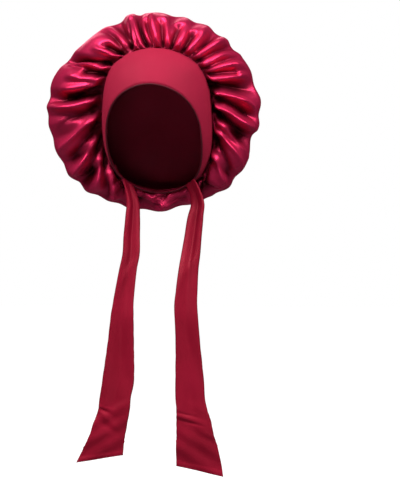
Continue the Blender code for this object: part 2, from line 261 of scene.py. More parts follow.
BROAD_FOLDS = table(
    Fold,
    (2, 12.8, 0.5, 0.8, 7.5), (12, 6.4, -0.5, 0.3, 7), (19, 8, 0.4, 0.8, 8),
    (25, 5.6, -0.5, 0.3, 7.5), (31, 8, 0.5, 0.8, 9), (39, 6.4, -0.5, 0.3, 8),
    (47, 8, 0.8, 0.8, 8.5), (52, 5.6, -0.8, 0.3, 7), (62, 14.4, 0.7, 0.5, 9.5),
    (75, 8, -0.6, 0.3, 8), (85, 9.6, 0.4, 0.8, 8.5), (92, 5.6, -0.7, 0.3, 7.5),
    (98, 6.4, 0.9, 0.3, 8), (106, 7.2, -1, 0.3, 8.5), (121, 11.2, 0.9, 0.5, 9),
    (129, 6.4, -0.5, 0.3, 7.5), (137, 8, 0.7, 0.5, 8.5), (148, 9.6, -0.7, 0.3, 8),
    (158, 9.6, 0.5, 0.8, 9), (168, 8, -0.5, 0.3, 7.5), (178, 9.6, 0.6, 0.8, 9),
    (189, 8, -0.6, 0.3, 8), (197, 8, 0.5, 0.8, 8.5), (204, 6.4, -0.4, 0.3, 7.5),
    (211, 8, 0.6, 0.5, 9), (217, 6.4, -0.6, 0.3, 8), (223, 7.2, 0.8, 0.5, 8.5),
    (229.5, 6.4, -1.2, 0.3, 8), (236, 7.2, 1, 0.5, 8.5), (242, 6.4, -0.6, 0.3, 7.5),
    (250, 8, 0.6, 0.5, 9), (257, 6.4, -0.4, 0.3, 7.5), (264, 8, 0.4, 0.5, 8.5),
    (269, 5.6, -0.6, 0.3, 7), (273.5, 5.6, 0.8, 0.8, 7.5), (278, 5.6, -0.9, 0.3, 7.5),
    (289, 12.8, 0.6, 0.5, 9.5), (301, 6.4, -1, 0.3, 8.5), (320, 19.2, 0.7, 0.5, 9.5),
    (337.5, 8, -1.3, 0.3, 8), (342.8, 4.6, 0.85, 0.3, 7.5), (348, 4.6, 0.85, 0.3, 7.5),
    (351.5, 3.6, -0.8, 0.3, 7.5),
)

CREASES = table(
    Crease,
    (337.5, 3.5, 2.5, 0.6, 1.5, 5.1, 5, -9), (344.5, 0.5, 1, 0.2, 2.1, 5, 9, 5),
    (345, 0.5, 1, 0.2, 1.6, 3.2, 3, -4), (353.5, -3, -4, 0.4, 2.1, 5.2, 4, -9),
    (358, -4.5, -5, 0.4, 2, 3.4, 4, 4), (0.5, -3.5, -4.5, 0.4, 1.8, 3, 3, -5),
    (5, -4.5, -6, 0.2, 2, 3.9, 5, 5), (11, -2.5, -5, 0.5, 1.7, 2.8, 4, -6),
    (15.5, -4.5, -7.5, 0.4, 1.8, 3.8, 5, 4), (19.5, 0, -0.5, 0.4, 1.5, 2.7, 4, -6),
    (25, -0.5, -3.5, 0.4, 1.9, 4, 6, 5), (31.5, 0, -1, 0.5, 1.4, 2.4, 4, -7),
    (36.5, -1, -3, 0.5, 2.6, 5, 7, 6), (39.5, 1.5, 0.5, 0.6, 2.1, 3.6, 4, -6),
    (44.5, 0.5, 0.5, 0.5, 2.6, 5.1, 6, 5), (47.5, 2, 2, 0.5, 2.6, 5.1, 5, -7),
    (52.5, 0.5, 3.5, 0.5, 2.9, 5.1, 6, 7), (56, 1, 2.5, 0.5, 2.3, 4, 5, -6),
    (59, 1.5, 6.5, 0.5, 2.2, 4.2, 7, 5), (61.5, 2, 4.5, 0.6, 1.7, 2.8, 5, -5),
    (64, 4.5, 6.5, 0.4, 2, 4.1, 6, 6), (70, 4, 8, 0.2, 1.9, 3.9, 10, -6),
    (76, 5, 17, 0.6, 2.1, 4.5, 5, 9), (79.5, 6.5, 17.5, 0.5, 2, 4.3, 5, -6),
    (84, 9.5, 16.5, 0.5, 2.1, 5.4, 6, 10), (89, 10, 16.5, 0.4, 2.1, 4.6, 6, -9),
    (94, 11.5, 23, 0.4, 2, 5.3, 6, 5), (99, 12, 24.5, 0.1, 1.8, 4.4, 5, 6),
    (104.5, 12, 24.5, 0, 1.4, 3.5, 6, -6), (110.5, 12, 23, 0, 0.9, 3, 5, 5),
    (117, 12, 24, 0, 0.5, 3.3, 5, -5), (121.5, 14.5, 25, 0, 0.2, 3, 6, 4),
    (330, 0, -3.5, 0.6, 2.2, 3.7, 8, -7), (332, 2, -2.5, 0.6, 2.5, 4.4, 6, 5),
    (325.5, -3, -5, 0.2, 1.2, 2, 4, -7), (323, -4.5, -7.5, 0, 1, 1.9, 5, 5),
    (309.5, -4, -9, 0.5, 1.9, 4.2, 4, -11), (306.5, -3, -7.5, 0.4, 1.7, 3.7, 5, 8),
    (299, -1.5, -3, 0.5, 1.4, 2, 4, -7), (296.5, -2.5, -4.5, 0.6, 1.5, 2.5, 6, 5),
    (292.5, -6, -9, 0.6, 1.7, 2.7, 6, 5), (288.5, -6.5, -9, 0.7, 1.8, 2.8, 4, -5),
    (283.5, -4.5, -8, 0.7, 2.1, 4.4, 4, -8), (279, -3, -6, 0.7, 1.6, 4.3, 6, 6),
    (272, -3.5, -10.5, 0.7, 1.6, 3.6, 7, -5), (267, -7.5, -17, 0.7, 1.6, 3.7, 6, 8),
    (259.5, -7.5, -16.5, 0.7, 1.6, 3.5, 6, -6), (253.5, -10.5, -19.5, 0.6, 1.6, 3.6, 5, 7),
    (249, -13, -20.5, 0.5, 1.7, 3.8, 6, -6), (245, -13, -24.5, 0.4, 1.2, 4, 7, 5),
    (240.5, -13.5, -25.5, 0.2, 1.1, 4.2, 6, -5), (235.5, -14, -26, 0, 0.9, 4, 7, 5),
    (229, -13, -25.5, 0, 0.5, 3.9, 6, -5), (222, -13.5, -24, 0, 0.4, 4, 6, 4),
)

# A slit that ends before POCKET_END is a pocket. A ridge is round where its clock angle's
# cosine is over TOP_FROM, and rises slowly where it is under LOW_FROM.
POCKET_END = 3.5
TOP_FROM = 0.3
LOW_FROM = -0.2
LOW_SLITS = 7
LOW_SLITS_CLOCK = 143.0
LOW_SLITS_SPREAD = 66.0
LOW_SLITS_LEAN = 6.0
LOW_SLITS_END = 3.4
LOW_SLITS_UNEVEN = 1.1
LOW_SLITS_WIDTH = 5
LOW_SLITS_DEPTH = 3.0

GATHER_DRIFT = (Wave(3, 1, 0.9), Wave(7, 2, 0.7), Wave(13, 0, 0.5))
PULL_DRIFT = (Wave(3, 0, 1.7), Wave(7, 2, 0.9))
DENTS = (Dent(0.5, 52, 31, 1.3, 1.2, 0, 23), Dent(0.4, -40, 71, 0.4, 1.5, 31, 0))

LAMPS = (
    Lamp("key", (-1.5, -1.2, 1.6), (1.7, 1.3), 24),
    Lamp("fill", (1.7, -1.1, 1.4), (1.3, 1.0), 20),
    Lamp("top", (-0.1, -0.8, 1.6), (1.8, 1.2), 17, 140),
    Lamp("front", (0.1, -2.2, -0.8), (0.8, 0.6), 5, 60, (0, 0, -0.6)),
    Lamp("back", (-0.5, 1.8, 0.8), (1.2, 1.0), 3.5),
)

# Each tie from its root to its end, then the creases across it.
RIGHT_TIE = table(
    TieSection,
    (0, 0, 0, 0.31, 43, 0.45, 0.08), (0.062, 0.024, 0.008, 0.39, 40, 0.1, 0.14),
    (0.127, 0.017, 0.023, 0.44, 32, 0.05, 0.16), (0.191, 0.011, 0.037, 0.45, 26, 0, 0.15),
    (0.255, 0.005, 0.051, 0.47, 18, 0, 0.12), (0.318, -0.002, 0.065, 0.47, 12, 0, 0.1),
    (0.424, -0.008, 0.084, 0.52, 6, 0, 0.06), (0.487, -0.005, 0.094, 0.54, 3, 0, 0.04),
    (0.571, 0.001, 0.098, 0.56, 0, 0.02, 0.03), (0.697, 0.008, 0.105, 0.64, -2, 0.04, 0.03),
    (0.76, 0.011, 0.11, 0.66, -3, 0.05, 0.05), (0.802, 0.017, 0.115, 0.69, -3, 0.05, 0.03),
    (0.843, 0.024, 0.117, 0.78, -2, 0.02, 0.02), (0.885, 0.029, 0.117, 0.84, -1, -0.05, 0.02),
    (0.927, 0.036, 0.117, 0.93, 0, -0.11, 0.02), (0.97, 0.041, 0.115, 1, 1, -0.18, 0.01),
    (1.018, 0.046, 0.113, 1.05, 2, -0.21, 0.01),
)

LEFT_TIE = table(
    TieSection,
    (0, 0, 0, 0.31, 43, 0.45, 0.08), (0.062, -0.024, 0.008, 0.32, 46, 0.1, 0.13),
    (0.126, -0.026, 0.023, 0.37, 44, 0.05, 0.15), (0.191, -0.024, 0.037, 0.39, 36, 0, 0.13),
    (0.255, -0.023, 0.051, 0.4, 26, 0, 0.1), (0.319, -0.012, 0.065, 0.41, 18, 0, 0.08),
    (0.425, 0.001, 0.084, 0.47, 10, 0, 0.06), (0.488, 0.005, 0.094, 0.53, 5, 0, 0.05),
    (0.573, 0.009, 0.098, 0.6, 2, -0.02, 0.04), (0.699, 0.017, 0.105, 0.72, 0, -0.04, 0.03),
    (0.763, 0.027, 0.11, 0.72, -2, -0.07, 0.05), (0.805, 0.031, 0.115, 0.74, -3, -0.09, 0.03),
    (0.847, 0.042, 0.117, 0.79, -2, -0.1, 0.02), (0.889, 0.053, 0.117, 0.83, -1, -0.12, 0.02),
    (0.932, 0.067, 0.115, 0.92, 0, -0.15, 0.01), (0.979, 0.081, 0.113, 1.05, 2, -0.17, 0.01),
)

RIGHT_TIE_CREASES = table(
    TieCrease,
    (0.722, 0.05, 2.6, -1, -0.2), (0.745, 0.06, 4, 1.1, -0.3), (0.762, 0.04, 3.5, -1.2, -0.1),
    (0.79, 0.08, 9, 1, 0.3), (0.3, -0.1, 9, 1, 0), (0.5, 0.12, 16, -1.4, 0.2),
)

LEFT_TIE_CREASES = table(
    TieCrease,
    (0.738, -0.06, 3.5, 1, 0.45), (0.765, -0.1, 5, -1.6, 0.4), (0.8, -0.16, 7, 1.2, 0.35),
    (0.835, -0.12, 8, -1.2, 0.1), (0.33, 0.09, 9, 1, 0), (0.56, -0.12, 16, -1.4, -0.2),
)

TIE_WAVES = (TieWave(0.0007, 23, 3, 1, (0.05, 0.3)), TieWave(0.0006, 61, -7, 0, (0.6, 0.8)))


def low_creases() -> tuple[Crease, ...]:
    """The slits along the bottom, which hang down and die out at uneven lengths."""
    made = []
    for index in range(LOW_SLITS):
        uneven = math.sin(index * 2.3 + 0.6)
        clock = LOW_SLITS_CLOCK + (index + 0.3 * uneven) * LOW_SLITS_SPREAD / LOW_SLITS
        lean = -LOW_SLITS_LEAN * math.cos(math.radians(clock))
        end = LOW_SLITS_END + LOW_SLITS_UNEVEN * math.sin(index * 1.7)
        made.append(Crease(clock, lean * 0.4, lean, 0.5, end * 0.5, end, LOW_SLITS_WIDTH,
                           -LOW_SLITS_DEPTH - uneven))
    return tuple(made)


def between(before: Array, here: Array, there: Array, after: Array,
            part: Array) -> Array:
    """The smooth curve between two rows of a table.

    Args:
        before: The row before the first.
        here: The first row.
        there: The second row.
        after: The row after the second.
        part: How far from the first row to the second, 0 to 1.

    Returns:
        The row at that place.
    """
    straight = there - before
    bend = 2 * before - 5 * here + 4 * there - after
    twist = 3 * (here - there) + after - before
    return here + 0.5 * part * (straight + part * (bend + part * twist))


def read(rows: Array, position: Array, closed: bool = False) -> Array:
    """A table read smoothly between its rows.

    Args:
        rows: The table.
        position: Where to read, counted in rows.
        closed: Whether the last row leads on to the first.

    Returns:
        One row for each position.
    """
    last = len(rows) - 1
    first = np.floor(position).astype(int)
    if not closed:
        first = np.clip(first, 0, last - 1)
    near = (first + step for step in (-1, 0, 1, 2))
    near = (rows[at % len(rows) if closed else np.clip(at, 0, last)] for at in near)
    return between(*near, (position - first)[..., None])


def read_sheet(sheet: Array, around: Array, along: Array) -> Array:
    """A sheet of rows, closed one way, read smoothly both ways.

    Args:
        sheet: The sheet. Its first axis closes on itself.
        around: Where to read on the first axis, counted in rows.
        along: Where to read on the second axis, counted in rows.

    Returns:
        One value for each place.
    """
    last = sheet.shape[1] - 1
    column, first = np.floor(around).astype(int), np.clip(np.floor(along).astype(int), 0, last - 1)
    lines = []
    for step in (-1, 0, 1, 2):
        row = np.clip(first + step, 0, last)
        near = (sheet[(column + turn) % len(sheet), row] for turn in (-1, 0, 1, 2))
        lines.append(between(*near, (around - column)[..., None]))
    return between(*lines, (along - first)[..., None])


def ease(low: float, high: float, value: Array) -> Array:
    """0 below low, 1 above high and a smooth rise between them.

    Args:
        low: Where the rise starts.
        high: Where it ends.
        value: What is tested.

    Returns:
        The share of the rise at each value.
    """
    part = np.clip((value - low) / (high - low), 0, 1)
    return part * part * (3 - 2 * part)


def window(span: Span, value: Array) -> Array:
    """A smooth rise and fall.

    Args:
        span: Where the rise starts and ends, and where the fall starts and ends.
        value: What is tested.

    Returns:
        The share of the full height at each value.
    """
    return ease(span[0], span[1], value) * (1 - ease(span[2], span[3], value))


def apart(clock: Array, other: Array | float) -> Array:
    """The degrees from one clock angle to another, between -180 and 180."""
    return (clock - other + 180) % 360 - 180


def wavering(turn: Array, waves: tuple[Wave, ...]) -> Array:
    """The sum of slow waves round the crown."""
    return sum(wave.height * np.sin(wave.turns * turn + wave.start) for wave in waves)


def unit(vectors: Array) -> Array:
    """The same directions with length 1."""
    return vectors / np.linalg.norm(vectors, axis=-1, keepdims=True)


@dataclass(frozen=True)
class BandForm:
    """The band's loop on the head, from the face edge to the seam edge."""

    head: Triple = (0.0765, 0.097, 0.111)
    wall: float = 0.002
    look: float = 0.06

    def edges(self, clock: Array) -> tuple[Array, Array]:
        """The face edge and the seam edge on the band's inner side.

        Args:
            clock: Clock angles in degrees.

        Returns:
            The points of the face edge and of the seam edge.
        """
        half = np.array(BAND_STATIONS)
        mirror = half[-2:0:-1] * (-1, 1, 1, -1, 1, 1)
        loop = np.vstack([half, mirror])
        rows = read(loop, clock / 360 * len(loop), closed=True)
        return rows[..., :3] * self.head, rows[..., 3:] * self.head

    def out(self, points: Array) -> Array:
        """The direction straight out of the head at these points."""
        return unit(points / np.square(self.head))

    def point(self, clock: Array, across: Array, lift: float) -> Array:
        """Points of the band.

        Args:
            clock: Clock angles in degrees.
            across: 0 at the face edge and 1 at the seam edge.
            lift: How far out of the inner side.

        Returns:
            The points.
        """
        edge, seam = self.edges(clock)
        across = np.broadcast_to(across, clock.shape)[..., None]
        chord = seam - edge
        point = edge + chord * across
        curve = (self.head[1] + self.head[2]) / 2
        bulge = np.square(chord).sum(-1, keepdims=True) / (8 * curve)
        return point + self.out(point) * (4 * across * (1 - across) * bulge + lift)

    def seam_way(self, clock: Array) -> Array:
        """The direction in which the wall runs out at the seam edge."""
        return unit(self.point(clock, 1.0, 0) - self.point(clock, 1 - self.look, 0))

    def edge_way(self, clock: Array) -> Array:
        """The direction in which the wall runs out at the face edge."""
        return unit(self.point(clock, 0.0, 0) - self.point(clock, self.look, 0))


@dataclass(frozen=True)
class CrownForm:
    """The gathered bag: its smooth form, and the folds that stand on it."""

    band: BandForm
    wall: float = 0.0016
    reach: float = 0.156
    back: float = 0.138
    side_shift: float = -0.007
    lift: float = 0.0255
    sag: float = 0.014
    puff_top: float = 0.0042
    puff_low: float = 0.012
    puff_rise: Pair = (0.18, 1.2)
    seam_gap: float = -0.0016
    sweep: float = 27.0
    look: float = 0.05
    fold_height: float = 0.010
    fold_rise: float = 3.3
    fold_fade: Pair = (2.8, 5)
    fold_at_outline: float = 0.25
    crease_depth: float = 1.6
    crease_before: float = 0.45
    crease_closing: Pair = (0.5, 1.5)
    crease_overrun: float = 1.3
    crease_fade: Pair = (2.2, 4.6)
    crease_at_outline: float = 0.12
    pocket_start: float = 0.7
    pocket_widening: float = 0.9
    roll_height: float = 0.0055
    roll_span: Span = (0.05, 0.5, 2.0, 4.6)
    gutter_top: float = 0.0025
    gutter_low: float = 0.007
    gutter_span: Span = (0.05, 0.3, 0.4, 1.3)
    dent_depth: float = 0.0030
    pull_height: float = 0.0022
    pulls: int = 24
    pull_level: float = 0.7
    pull_swing: float = 0.3
    pull_fade: Pair = (6.2, 9.0)
    slack_rise: Pair = (4.6, 6.4)
    # The painted shadow along the seam: how deep it is, where it fades out along the meridian, and
    # how much further it reaches at the sides. broad_share is how much the broad folds count
    # towards the painted shade.
    shadow: float = 0.007
    shadow_fade: Pair = (0.1, 0.9)
    shadow_side: float = 0.7
    broad_share: float = 0.5
    gathers: int = 60
    gather_level: float = 0.75
    gather_swing: float = 0.35
    gather_wander: float = 1.5
    gather_height: float = 0.0007
    gather_span: Span = (0.05, 0.7, 1.0, 2.6)
    pleats: float = 27.0
    pleat_wander: float = 2.2
    pleat_height: float = 0.0010
    pleat_span: Span = (0.4, 1.4, 1.8, 4.2)

    def seam(self, clock: Array) -> Array:
        """Points on the middle of the crown's wall where it is sewn in."""
        start = clock - self.sweep * np.sin(np.radians(clock))
        sewn = self.band.point(start, 1.0, self.band.wall / 2)
        return sewn + self.band.seam_way(start) * (self.seam_gap + self.wall / 2)

    def smooth(self, clock: Array, position: Array) -> Array:
        """The crown with no folds.

        Args:
            clock: Clock angles in degrees.
            position: Places along the meridian, in sections from the seam.

        Returns:
            The points.
        """
        turn = np.radians(clock)
        rim = read(np.array(CROWN_OUTLINE), clock / 360 * len(CROWN_OUTLINE), closed=True)
        reach, depth = rim[..., 0] * self.reach, rim[..., 1] * self.back
        outline = np.stack([np.sin(turn) * reach + self.side_shift, depth,
                            np.cos(turn) * reach + self.lift], -1)
        pole = np.array([self.side_shift, self.back, self.lift - self.sag])
        seam = self.seam(clock)
        row = read(np.array(CROWN_SECTIONS), position)
        one, two, deep, deeper, puff = (row[..., i:i + 1] for i in range(5))
        point = seam * one + outline * two + pole * (1 - one - two)
        depths = seam[..., 1:2] * deep + outline[..., 1:2] * deeper
        low = np.square(np.sin(turn / 2))
        forward = self.puff_top + (self.puff_low - self.puff_top) * low
        forward = forward * puff[..., 0] * ease(*self.puff_rise, position)
        point[..., 1] = (depths + self.back * (1 - deep - deeper))[..., 0] - forward
        return point

    def frames(self, clock: Array, position: Array) -> tuple[Array, Array]:
        """How the smooth crown lies at each place.

        Args:
            clock: Clock angles in degrees.
            position: Places along the meridian.

        Returns:
            The step for one degree of the clock, and the direction straight out.
        """
        here = np.clip(position, self.look, len(CROWN_SECTIONS) - 1 - self.look)
        along = self.smooth(clock, here + self.look) - self.smooth(clock, here - self.look)
        around = (self.smooth(clock + 1, here) - self.smooth(clock - 1, here)) / 2
        return around, unit(np.cross(around, along))

    def broad(self, clock: Array, position: Array) -> Array:
        """How far the broad folds stand off the smooth crown."""
        height = np.zeros(clock.shape)
        for fold in BROAD_FOLDS:
            off = apart(clock, fold.clock) / fold.half_width
            bump = np.square(np.clip(1 - off * off, 0, 1))
            run = window((fold.start, self.fold_rise, OUTLINE, fold.end), position)
            height += fold.height * self.fold_height * bump * run
        return height * (1 - (1 - self.fold_at_outline) * ease(*self.fold_fade, position))

    def rolls(self, clock: Array, position: Array) -> Array:
        """How far the rolls between the slits swell, and the cloth dips beside the band."""
        low = np.square(np.sin(np.radians(clock) / 2))
        side = np.square(np.sin(np.radians(clock)))
        dip = self.gutter_top + (self.gutter_low - self.gutter_top) * np.maximum(low, side)
        swell = self.roll_height * window(self.roll_span, position)
        return swell - dip * window(self.gutter_span, position)

    def sharp(self, clock: Array, position: Array, degree: Array) -> Array:
        """How far the sharp folds stand off the smooth crown.

        Args:
            clock: Clock angles in degrees.
            position: Places along the meridian.
            degree: The length of one degree of the clock there.

        Returns:
            The heights.
        """
        height = np.zeros(clock.shape)
        for crease in CREASES + low_creases():
            span = crease.end - crease.start
            knee = (crease.middle - crease.start) / span
            part = np.clip((position - crease.start) / span, 0, self.crease_overrun)
            bend = (crease.turn_middle - crease.turn_end * knee) / (knee * (knee - 1))
            middle = crease.clock + part * (crease.turn_end + bend * (part - 1))
            off = apart(clock, middle) * degree * PER_METRE / crease.half_width
            profile = crease.profile
            if profile is POCKET:
                off = off / (self.pocket_start + self.pocket_widening * np.clip(part, 0, 1))
            ridge = np.exp(-np.abs(off) ** profile.power)
            before, after = (profile.closing * share for share in self.crease_closing)
            rise = ease(crease.start - self.crease_before, crease.start + profile.rise, position)
            fall = 1 - ease(crease.end - before, crease.end + after, position)
            height += crease.height * self.crease_depth / PER_METRE * ridge * rise * fall
        return height * (1 - (1 - self.crease_at_outline) * ease(*self.crease_fade, position))

    def gathered(self, clock: Array, position: Array) -> Array:
        """How far the fine gathers at the seam stand off the smooth crown."""
        turn = np.radians(clock)
        drift = wavering(turn, GATHER_DRIFT)
        swing = self.gather_swing * np.sin(11 * turn + drift) * np.sin(5 * turn + 0.7)
        uneven = self.gather_level + swing
        fine = np.cos(self.gathers * turn + drift * self.gather_wander) * uneven
        pleat = np.cos(self.pleats * turn + drift * self.pleat_wander) * uneven
        fine = self.gather_height * fine * window(self.gather_span, position)
        return fine + self.pleat_height * pleat * window(self.pleat_span, position)

    def slack(self, clock: Array, position: Array) -> Array:
        """How far the loose cloth at the back sinks and drags."""
        turn = np.radians(clock)
        point = self.smooth(clock, position)
        dents = sum(dent.depth(point[..., 0], point[..., 2]) for dent in DENTS)
        pulls = np.sin(self.pulls * turn + wavering(turn, PULL_DRIFT))
        pulls = pulls * (self.pull_level + self.pull_swing * np.sin(5 * turn + 1))
        pulls = pulls * (1 - ease(*self.pull_fade, position))
        depth = self.dent_depth * dents + self.pull_height * pulls
        return depth * ease(*self.slack_rise, position)

    def relief(self, clock: Array, position: Array) -> Array:
        """How far all the folds stand off the smooth crown."""
        degree = np.linalg.norm(self.frames(clock, position)[0], axis=-1)
        height = self.broad(clock, position) + self.sharp(clock, position, degree)
        height = height + self.gathered(clock, position) + self.rolls(clock, position)
        return height + self.slack(clock, position)

    def painted_shade(self, clock: Array, position: Array) -> Array:
        """How deep each place lies between the folds beside it, below 0 where it lies deep, less a
        painted shadow along the seam that reaches further at the sides. The satin is painted
        darker where this is low: painted shade in the slits and along the seam.
        """
        degree = np.linalg.norm(self.frames(clock, position)[0], axis=-1)
        near = self.sharp(clock, position, degree) + self.broad_share * self.broad(clock, position)
        place = position - self.shadow_side * np.square(np.sin(np.radians(clock)))
        return near - self.shadow * (1 - ease(*self.shadow_fade, place))

    def folded(self, clock: Array, position: Array) -> Array:
        """The crown with all its folds."""
        out = self.frames(clock, position)[1]
        height = self.relief(clock, position) + self.wall / 2
        return self.smooth(clock, position) + out * height[..., None]

    def meridian(self, steps: int = 240) -> tuple[Array, Array]:
        """How the sections lie along the cloth.

        Args:
            steps: How finely the meridian is measured.

        Returns:
            Places along the meridian, and the length of cloth from the seam to each.
        """
        places = np.linspace(0, len(CROWN_SECTIONS) - 1, steps)
        line = self.smooth(np.full(steps, 90.0), places)
        lengths = np.linalg.norm(np.diff(line, axis=0), axis=-1)
        return places, np.concatenate([[0], np.cumsum(lengths)])


@dataclass(frozen=True)
class TieForm:
    """One long tie: a doubled strip that is folded narrow at the top and opens lower down."""

    band: BandForm
    side: int
    rows: tuple[TieSection, ...]
    creases: tuple[TieCrease, ...]
    drop: float = 0.422
    width: float = 0.067
    root_width: float = 0.021
    root_clock: float = 148.5
    free: float = 1.4
    seam_gap: float = 0.0007
    cloth_half: float = 0.031
    layer: float = 0.0034
    crease_reach: float = 0.34
    hem: float = 0.0009
    hem_rise: Pair = (0.970, 0.978)
    turned: float = 0.0012
    behind_rise: float = 0.0016
    widest: float = 1.9
    flat_from: float = 1.02
    far_side: float = 1.6
    valley: float = 5.5
    sewn_share: float = 0.3

    def root(self, share: Array) -> tuple[Array, Array]:
        """Points on the band's face edge where the tie is sewn on.

        Args:
            share: -0.5 at the tie's inner side and 0.5 at its outer side.

        Returns:
            The points, and the direction out of the head there.
        """
        centre = np.array([self.root_clock])
        ends = self.band.edges(centre - 1)[0], self.band.edges(centre + 1)[0]
        degrees = 2 * self.root_width / np.linalg.norm(ends[1] - ends[0])
        clock = self.root_clock - share * degrees
        point = self.band.point(clock, 0.0, self.band.wall / 2)
        point = point + self.band.edge_way(clock) * (self.band.wall / 2 + self.seam_gap)
        flip = np.array([self.side, 1, 1])
        return point * flip, self.band.out(point) * flip

    def lay(self, u: Array, v: Array) -> Array:
        """Points of the tie's cloth.

        Args:
            u: 0 at the inner edge of the cloth and 1 at the outer edge.
            v: 0 at the root and 1 at the end.

        Returns:
            The points.
        """
        position = v * (len(self.rows) - 1)
        row = read(np.array(self.rows), position)
        drop, sway, forward, width, turn, rise, crease = (row[..., i] for i in range(7))
        shown = width * self.width / 2
        cloth = np.minimum(np.maximum(self.cloth_half, shown), self.widest * shown)
        doubled = cloth > shown * self.flat_from
        reach = (u * 2 - 1) * cloth
        over = np.abs(reach) - shown
        folded = shown - np.sqrt(over * over + self.turned**2) + self.turned * 0.4
        lateral = np.sign(reach) * np.where(doubled, folded, np.abs(reach))
        behind = self.layer * ease(-self.turned, self.behind_rise, over) * doubled
        behind = behind * np.where(reach * self.side > 0, 1.0, self.far_side)
        share = lateral / np.maximum(2 * shown, TOUCHING)
        start, out = self.root(share)
        centre = self.root(np.zeros(1))[0][0]
        hang = np.stack([self.side * sway, -forward, -drop], -1) * self.drop + centre
        angle = np.radians(turn)
        across = np.stack([self.side * np.cos(angle), -np.sin(angle), rise], -1)
        inward = np.stack([self.side * np.sin(angle), np.cos(angle), np.zeros_like(angle)], -1)
        groove = crease * width * self.width * np.exp(-np.square(share * self.valley))
        ripple = self.ripple(v, share)
        hang = hang + across * lateral[..., None]
        hang = hang + inward * (groove + behind - ripple)[..., None]
        sewn = start - out * (behind * self.sewn_share)[..., None]
        blend = ease(0, self.free, position)[..., None]
        return sewn * (1 - blend) + hang * blend

    def ripple(self, v: Array, share: Array) -> Array:
        """How far the creases across the tie and its slow waves stand forward."""
        height = 0
        for wave in TIE_WAVES:
            angle = v * wave.along + share * wave.across + self.side * wave.side
            height = height + wave.height * np.sin(angle) * ease(*wave.rise, v)
        for crease in self.creases:
            off = (v - crease.along - crease.slant * share) * self.drop
            off = off * PER_METRE / crease.half_width
            near = np.exp(-np.square((share - crease.centre) / self.crease_reach))
            height = height + crease.height / PER_METRE * np.exp(-off * off) * near
        return height + self.hem * ease(*self.hem_rise, v)


@dataclass(frozen=True)
class ClothGrid:
    """A grid of cloth that a function lays in place."""

    name: str
    columns: int
    rows: int
    cut: Pair
    wall: float = 0.0
    offset: float = -1.0
    lined: bool = False

    def build(self, lay: Place) -> Piece:
        """Makes the grid, lays it, closes its seams and gives it its wall.

        Args:
            lay: Gives the points for shares across and along the grid.

        Returns:
            The finished piece, with a UV map in metres of cloth.
        """
        mesh = bmesh.new()
        cloth = mesh.loops.layers.uv.new("Cloth")
        kept = mesh.verts.layers.float_vector.new("share")
        bmesh.ops.create_grid(mesh, x_segments=self.columns, y_segments=self.rows,
                              size=0.5, calc_uvs=True)
        flat = np.array([vertex.co[:2] for vertex in mesh.verts])
        flat = (flat - flat.min(0)) / (flat.max(0) - flat.min(0))
        shares = dict(zip(mesh.verts, flat))
        for vertex, share in shares.items():
            vertex[kept] = (*share, 0)
        for face in mesh.faces:
            for loop in face.loops:
                loop[cloth].uv = shares[loop.vert] * self.cut
        for vertex, point in zip(mesh.verts, lay(flat[:, 0], flat[:, 1])):
            vertex.co = point
        bmesh.ops.remove_doubles(mesh, verts=mesh.verts, dist=TOUCHING)
        data = bpy.data.meshes.new(self.name)
        mesh.to_mesh(data)
        mesh.free()
        data.shade_smooth()
        made = bpy.data.objects.new(self.name, data)
        bpy.context.scene.collection.objects.link(made)
        if self.wall:
            solid = made.modifiers.new("Wall", "SOLIDIFY")
            solid.thickness = self.wall
            solid.offset = self.offset
            solid.use_even_offset = False
            solid.material_offset = int(self.lined)
        return made


def read_shares(data: bpy.types.Mesh) -> Array:
    """Each point's shares across and along the cloth, as its grid kept them."""
    shares = np.empty(len(data.vertices) * 3, dtype=np.float32)
    data.attributes["share"].data.foreach_get("vector", shares)
    return shares.reshape(-1, 3)[:, :2]


def read_points(data: bpy.types.Mesh) -> Array:
    """Each point's place."""
    points = np.empty(len(data.vertices) * 3, dtype=np.float32)
    data.vertices.foreach_get("co", points)
    return points.reshape(-1, 3)


